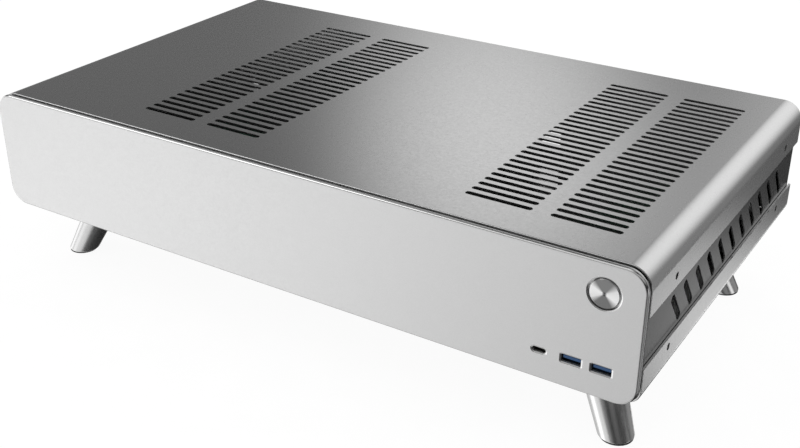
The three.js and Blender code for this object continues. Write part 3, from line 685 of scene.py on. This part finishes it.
def usb_a_contacts(number):
    """Flat spring contacts side by side, half sunk into the underside of a tongue."""
    low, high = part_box(f"usb_a_tongue_{number}")
    middle = (low.x + high.x) / 2
    under = low.z - CONTACT_THICK / 2
    over = low.z + CONTACT_THICK / 2
    mesh = bmesh.new()
    for i in range(CONTACTS):
        x = middle + (i - (CONTACTS - 1) / 2) * CONTACT_PITCH
        outline = rounded_box(x - CONTACT_WIDTH / 2, x + CONTACT_WIDTH / 2, under, over, 0.08 * MM, 2)
        add_prism(mesh, outline, "Y", low.y + 1 * MM, high.y - 2 * MM)
    piece = new_object(f"usb_contacts_{number}", mesh)
    soften(piece, 0.05 * MM, 1)
    return place(piece, MATERIALS["nickel_lid"])


def usb_a_tongue(number):
    """The blue tongue of a socket."""
    node = f"usb_a_tongue_{number}"
    low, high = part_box(node)
    mesh = bmesh.new()
    outline = rounded_box(low.x, high.x, low.z, high.z, 0.3 * MM, 4)
    add_prism(mesh, outline, "Y", low.y, high.y)
    piece = new_object(f"usb_tongue_{number}", mesh)
    soften(piece, 0.15 * MM, 2)
    return place(piece, MATERIALS["blue_plastic"], stands_for=[node])


# ---------------------------------------------------------------- bent sheets


def bent_sheet(name, web_z, lip_z, y0, y1, outer):
    """A sheet bent into a channel: its web is at web_z, and its flanges end at lip_z."""
    side = 1 if lip_z > web_z else -1
    reach = HALF - outer
    middle = web_z + side * outer

    def bend(x, radius, start, stop):
        return [(u, middle - side * (v - middle)) for u, v in arc(x, middle, radius, start, stop, 24)]

    def section(inset):
        out = outer - inset
        back = outer - SHEET + inset
        wide = HALF - inset
        narrow = HALF - SHEET + inset
        lip = lip_z - side * inset
        outline = [(wide, lip)] + bend(reach, out, 0, 90) + bend(-reach, out, 90, 180) + [(-wide, lip)]
        outline += [(-narrow, lip)] + bend(-reach, back, 180, 90) + bend(reach, back, 90, 0)
        return outline + [(narrow, lip)]

    rings = [(section(inset), y0 + depth) for inset, depth in edge_round(SHEET_EDGE)]
    rings += [(section(inset), y1 - depth) for inset, depth in reversed(edge_round(SHEET_EDGE))]
    mesh = bmesh.new()
    add_loft(mesh, rings, "Y")
    return new_object(name, mesh)


def screw_places(level):
    places = []
    for side in SIDES:
        for end in ENDS:
            places.append(centre_of(f"side_screw_{side}_{end}_{level}"))
    return places


def add_screw_holes(mesh, level):
    """Round holes through both flanges, a little wider than the screws' heads."""
    for spot in screw_places(level):
        reach = sorted((math.copysign(HALF + PAST, spot.x), math.copysign(HALF - PAST, spot.x)))
        add_prism(mesh, circle(spot.y, spot.z, SCREW_HOLE, 32), "X", *reach)


def cover_sheet():
    low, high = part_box("top_cover")
    piece = bent_sheet("cover_sheet", CASE_HIGH, low.z, low.y, high.y, CORNER)
    slots = bmesh.new()
    for x in SLOT_CENTRES:
        for row in range(SLOT_ROWS):
            outline = stadium(x, SLOT_FIRST + row * SLOT_PITCH, SLOT_LENGTH, SLOT_WIDTH)
            add_prism(slots, outline, "Z", CASE_HIGH - PAST, CASE_HIGH + PAST)
    add_screw_holes(slots, "upper")
    cut(piece, slots)
    smooth_sides(piece)
    return place(piece, MATERIALS["brushed_shell"], stands_for=["top_cover"])


def add_tray_supports(mesh):
    """Hexagonal spacers under the motherboard and two rails under the power supply."""
    root = CASE_LOW + SHEET / 2
    low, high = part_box("motherboard")
    columns = (low.x + SPACER_SIDE, (low.x + high.x) / 2, high.x - SPACER_SIDE)
    rows = [(low.y if offset > 0 else high.y) + offset for offset in SPACER_ROWS]
    for x in columns:
        for y in rows:
            add_prism(mesh, circle(x, y, SPACER, 6), "Z", root, low.z - SUPPORT_GAP)
    low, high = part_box("psu_case")
    for x in (low.x + RAIL_SIDE, high.x - RAIL_SIDE):
        rail = rounded_box(x - RAIL_HALF, x + RAIL_HALF, low.y + RAIL_END, high.y - RAIL_END, 1 * MM, 3)
        add_prism(mesh, rail, "Z", root, low.z - SUPPORT_GAP)


def tray_sheet():
    low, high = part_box("bottom_tray")
    piece = bent_sheet("tray_sheet", CASE_LOW, high.z, low.y, high.y, TRAY_BEND)
    below = CASE_LOW - PAST
    above = CASE_LOW + SHEET + PAST
    holes = bmesh.new()
    for end in ENDS:
        for side in SIDES:
            spot = centre_of(f"foot_screw_{end}_{side}")
            add_prism(holes, circle(spot.x, spot.y, FOOT_SCREW_HOLE, 24), "Z", below, above)
    for row in range(TRAY_VENTS):
        y = TRAY_VENT_FIRST + row * TRAY_VENT_PITCH
        add_prism(holes, stadium(TRAY_VENT_X, y, TRAY_VENT_LENGTH, SLOT_WIDTH), "Z", below, above)
    add_screw_holes(holes, "lower")
    cut(piece, holes)
    supports = bmesh.new()
    add_tray_supports(supports)
    cut(piece, supports, "UNION")
    smooth_sides(piece)
    return place(piece, MATERIALS["brushed_shell"], stands_for=["bottom_tray"])


# ---------------------------------------------------------------- side panels


def side_sheet(side):
    """A flat dark panel with a row of slanted slots."""
    node = f"side_panel_{side}"
    low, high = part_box(node)
    mesh = bmesh.new()
    add_prism(mesh, rounded_box(low.y, high.y, low.z, high.z, PANEL_CORNER, 6), "X", low.x, high.x)
    piece = new_object(f"side_sheet_{side}", mesh)
    inner = low.x - PAST
    outer = high.x + PAST
    holes = bmesh.new()
    for i in range(SIDE_SLOTS):
        y = SIDE_SLOT_FIRST + i * SIDE_SLOT_PITCH
        outline = stadium(y, SIDE_SLOT_Z, SIDE_SLOT_LENGTH, SIDE_SLOT_WIDTH, SIDE_SLOT_LEAN)
        add_prism(holes, outline, "X", inner, outer)
    for level in LEVELS:
        for end in ENDS:
            spot = centre_of(f"side_screw_{side}_{end}_{level}")
            add_prism(holes, circle(spot.y, spot.z, SCREW_CORE_HOLE, 24), "X", inner, outer)
    cut(piece, holes)
    soften(piece, 0.25 * MM, 2)
    return place(piece, MATERIALS["dark_steel"], stands_for=[node])


# ---------------------------------------------------------------- feet


def foot_cone(end, side):
    """A tapered foot with a round lower edge, leaning from its screw in the tray to its pad."""
    node = f"foot_{end}_{side}"
    screw = centre_of(f"foot_screw_{end}_{side}")
    low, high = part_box(node)
    pad = centre_of(f"foot_pad_{end}_{side}")
    length = high.z - low.z
    fall = high.z - pad.z
    lean = ((screw.x - pad.x) / fall, (screw.y - pad.y) / fall)
    profile = [(0, -length)]
    for inset, rise in edge_round(FOOT_CHAMFER, 6):
        profile.append((FOOT_BOTTOM - inset, -length + rise))
    for i in range(1, FOOT_RINGS + 1):
        share = i / FOOT_RINGS
        radius = FOOT_BOTTOM + (FOOT_TOP - FOOT_BOTTOM) * share
        profile.append((radius, (FOOT_CHAMFER - length) * (1 - share)))
    profile.append((0, 0))
    mesh = bmesh.new()
    add_turned(mesh, profile, (screw.x, screw.y, high.z), "Z", 96, lean)
    piece = new_object(f"foot_cone_{end}_{side}", mesh)
    soften(piece, 0.2 * MM, 2)
    return place(piece, MATERIALS["polished_foot"], stands_for=[node])


# ---------------------------------------------------------------- power button and screws


def button_cap():
    """The turned cap, with a dimple, a chamfered rim, a flange behind the plate and a stem."""
    dimple, dimple_depth = BUTTON_DIMPLE
    flange, flange_front, flange_back = BUTTON_FLANGE
    stem, stem_end = BUTTON_STEM
    profile = [(0, dimple_depth), (dimple, 0), (BUTTON_RADIUS - BUTTON_CHAMFER, 0)]
    profile += [(BUTTON_RADIUS, BUTTON_CHAMFER), (BUTTON_RADIUS, flange_front)]
    profile += [(flange, flange_front), (flange, flange_back)]
    profile += [(stem, flange_back), (stem, stem_end), (0, stem_end)]
    mesh = bmesh.new()
    add_turned(mesh, profile, (BUTTON_X, FRONT, BUTTON_Z), "Y", 128)
    piece = new_object("button_cap", mesh)
    soften(piece, 0.08 * MM, 2)
    return place(piece, MATERIALS["turned_button"], "power_button", ["power_button"])


def screw(side, end, level):
    """A small button-head screw with a round socket; its head is sunk a little below the flange."""
    node = f"side_screw_{side}_{end}_{level}"
    low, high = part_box(node)
    spot = (low + high) / 2
    out = SIDES[side]
    face = high.x if out > 0 else low.x
    length = high.x - low.x
    tip = SCREW_SHANK - 0.3 * MM
    profile = [(0, -length), (tip, -length), (SCREW_SHANK, -length + 0.3 * MM)]
    profile += [(SCREW_SHANK, -SCREW_HEAD_HEIGHT), (SCREW_HEAD, -SCREW_HEAD_HEIGHT)]
    profile += [(SCREW_HEAD, -0.45 * MM), (SCREW_HEAD - 0.35 * MM, -0.08 * MM)]
    profile += [(SCREW_SOCKET + 0.1 * MM, 0), (SCREW_SOCKET, -0.1 * MM)]
    profile += [(SCREW_SOCKET, -SCREW_SOCKET_DEPTH), (0, -SCREW_SOCKET_DEPTH - 0.2 * MM)]
    mesh = bmesh.new()
    add_turned(mesh, [(radius, out * along) for radius, along in profile], (face, spot.y, spot.z), "X", 36)
    piece = new_object(f"screw_{side}_{end}_{level}", mesh)
    soften(piece, 0.05 * MM, 1)
    return place(piece, MATERIALS["screw_black"], stands_for=[node])


# ---------------------------------------------------------------- dark sheets behind the rear vents, as painted shade


def vent_shade_sheet(name, x0, x1, low, high):
    """A thin dark sheet inside the rear panel, put there as painted shade so that no daylight shows through
    its vents.
    """
    back = REAR - SHEET - SCREEN_GAP
    mesh = bmesh.new()
    outline = rounded_box(x0, x1, CASE_LOW + low, CASE_LOW + high, PANEL_CORNER, 4)
    add_prism(mesh, outline, "Y", back - SCREEN, back)
    piece = new_object(name, mesh)
    return place(piece, MATERIALS["black_plastic"])


# ---------------------------------------------------------------- nodes that keep their CAD shape


def finish_cad_nodes():
    """Gives every CAD node that still shows its material and slightly rounded edges."""
    looks = {row["node"]: MATERIALS[row["material_slot"]] for row in frame["record"]["subparts"]}
    # The heatsink's fins get a dark colour as painted shade behind the vents.
    looks["cooler_heatsink"] = shade_dark_aluminium()
    for name, node in frame["nodes"].items():
        if node.hide_render:
            continue
        node.data.materials.clear()
        node.data.materials.append(looks[name])
        weld = node.modifiers.new("weld", "WELD")
        weld.merge_threshold = WELD
        soften(node, 0.2 * MM, 2)


# ---------------------------------------------------------------- studio

# The soft lights that polished metal mirrors: azimuth from +Y towards +X, elevation, half width and
# softness of the edge, in degrees, and brightness.
SOFT_LIGHTS = {
    "left_wall": (-113, -38, 62, 1, 0.57),
    "left_panel": (-125, -27, 13, 12, 0.81),
    "upper_left_panel": (-120, 40, 13, 6, 2.2),
    "left_high_panel": (-92, -3, 15, 5, 0.7),
    "upper_rear_panel": (-70, 47, 14, 6, 0.7),
    "upper_front_panel": (-150, 56, 20, 10, 0.6),
    "front_wall": (180, 40, 24, 10, 0.35),
    "right_wall": (95, 38, 22, 8, 0.35),
    "right_corner_wall": (138, 32, 20, 8, 0.3),
    "ceiling": (0, 90, 18, 8, 0.4),
    "rear_strip": (-27, 24, 5, 5, 1.13),
    "rear_glow": (-42, 8, 20, 5, 0.15),
    "right_rear_panel": (13, 24, 17, 17, 1.06),
    "low_rear_strip": (10, -32, 4, 3.5, 1.7),
    "right_glow": (41, -16, 17, 16, 0.26),
    "front_glow": (203, -5, 36, 9, 0.2),
    "right_panel": (81, -14, 12, 3.5, 1.03),
    "right_front_panel": (123, -31, 16, 6, 0.2),
    "right_low_panel": (91, -39, 11, 5.5, 0.35),
}
# What glossy surfaces mirror between those lights, what lights matt ones, and the floor.
MIRRORED_FILL = 0.02
ROOM_BRIGHTNESS = 0.9
FLOOR_GLOW = 0.93
FLOOR_HALF = 12

# The camera stands to the right of the case, in front of its front face and above its lower edge.
CAMERA_LENS = 51.99
CAMERA_SENSOR = 36
CAMERA_RIGHT = 0.4271
CAMERA_AHEAD = 0.5190
CAMERA_ABOVE = 0.3895
CAMERA_DOWN = math.radians(27.06)
CAMERA_TURN = math.radians(32.37)


def add_soft_light(tree, where, azimuth, elevation, half_width, softness, brightness):
    """A round patch of light with a soft edge, as a strength that depends on the direction looked in."""
    a, e = math.radians(azimuth), math.radians(elevation)
    towards = tree.nodes.new("ShaderNodeVectorMath")
    towards.operation = "DOT_PRODUCT"
    towards.inputs[1].default_value = (math.sin(a) * math.cos(e), math.cos(a) * math.cos(e), math.sin(e))
    tree.links.new(where, towards.inputs[0])
    edge = tree.nodes.new("ShaderNodeMapRange")
    edge.interpolation_type = "SMOOTHSTEP"
    edge.inputs["From Min"].default_value = math.cos(math.radians(half_width + softness))
    edge.inputs["From Max"].default_value = math.cos(math.radians(max(half_width - softness, 0)))
    edge.inputs["To Max"].default_value = brightness
    tree.links.new(towards.outputs["Value"], edge.inputs["Value"])
    return edge.outputs["Result"]


def add_background(tree, strength):
    background = tree.nodes.new("ShaderNodeBackground")
    background.inputs["Color"].default_value = (1, 1, 1, 1)
    background.inputs["Strength"].default_value = strength
    return background


def add_choice(tree, chooser, otherwise, chosen):
    mix = tree.nodes.new("ShaderNodeMixShader")
    tree.links.new(chooser, mix.inputs[0])
    tree.links.new(otherwise, mix.inputs[1])
    tree.links.new(chosen, mix.inputs[2])
    return mix.outputs[0]


def studio_world():
    """White to the camera, even light on matt surfaces, and soft panels for glossy ones to mirror."""
    world = bpy.data.worlds.new("studio")
    bpy.context.scene.world = world
    world.use_nodes = True
    tree = world.node_tree
    tree.nodes.clear()
    where = tree.nodes.new("ShaderNodeTexCoord").outputs["Generated"]
    total = None
    for light in SOFT_LIGHTS.values():
        add = tree.nodes.new("ShaderNodeMath")
        add.operation = "ADD"
        tree.links.new(add_soft_light(tree, where, *light), add.inputs[0])
        if total is None:
            add.inputs[1].default_value = MIRRORED_FILL
        else:
            tree.links.new(total, add.inputs[1])
        total = add.outputs[0]
    mirrored = add_background(tree, 1.0)
    tree.links.new(total, mirrored.inputs["Strength"])
    room = add_background(tree, ROOM_BRIGHTNESS)
    backdrop = add_background(tree, 1.0)
    rays = tree.nodes.new("ShaderNodeLightPath")
    lit = add_choice(tree, rays.outputs["Is Diffuse Ray"], mirrored.outputs[0], room.outputs[0])
    seen = add_choice(tree, rays.outputs["Is Camera Ray"], lit, backdrop.outputs[0])
    tree.links.new(seen, tree.nodes.new("ShaderNodeOutputWorld").inputs["Surface"])


def studio_floor():
    """A pale floor that glows a little, so that only faint shadows are left on it."""
    mesh = bmesh.new()
    bmesh.ops.create_grid(mesh, x_segments=2, y_segments=2, size=FLOOR_HALF)
    floor = new_object("studio_floor", mesh)
    shader = Shader("pale_floor", Roughness=0.9, Specular_IOR_Level=0.0, Emission_Strength=FLOOR_GLOW)
    shader.surface.inputs["Emission Color"].default_value = (1, 1, 1, 1)
    shader.shades(shader.noise(30, 2), tint(0.09), tint(0.10))
    shader.material.cycles.emission_sampling = "NONE"
    shader.clear_from_behind()
    floor.data.materials.append(shader.material)
    floor.visible_glossy = False
    floor.visible_shadow = False


def studio_camera():
    data = bpy.data.cameras.new("camera")
    data.sensor_width = CAMERA_SENSOR
    data.lens = CAMERA_LENS
    camera = bpy.data.objects.new("camera", data)
    camera.location = (CAMERA_RIGHT, FRONT - CAMERA_AHEAD, CASE_LOW + CAMERA_ABOVE)
    camera.rotation_euler = (math.pi / 2 - CAMERA_DOWN, 0, CAMERA_TURN)
    bpy.context.scene.collection.objects.link(camera)
    bpy.context.scene.camera = camera


# ---------------------------------------------------------------- the scene

studio_camera()
studio_world()
studio_floor()

front_plate()
cover_sheet()
tray_sheet()
button_cap()
for tongue_number in (1, 2):
    usb_a_tongue(tongue_number)
    usb_a_contacts(tongue_number)
for side_name in SIDES:
    side_sheet(side_name)
    for end_name in ENDS:
        foot_cone(end_name, side_name)
        for level_name in LEVELS:
            screw(side_name, end_name, level_name)
# Dark sheets behind the rear vents, as painted shade.
for screen_name, reach in SCREENS.items():
    vent_shade_sheet(f"dust_screen_{screen_name}", *reach)
finish_cad_nodes()
bpy.context.scene.view_settings.view_transform = "Standard"
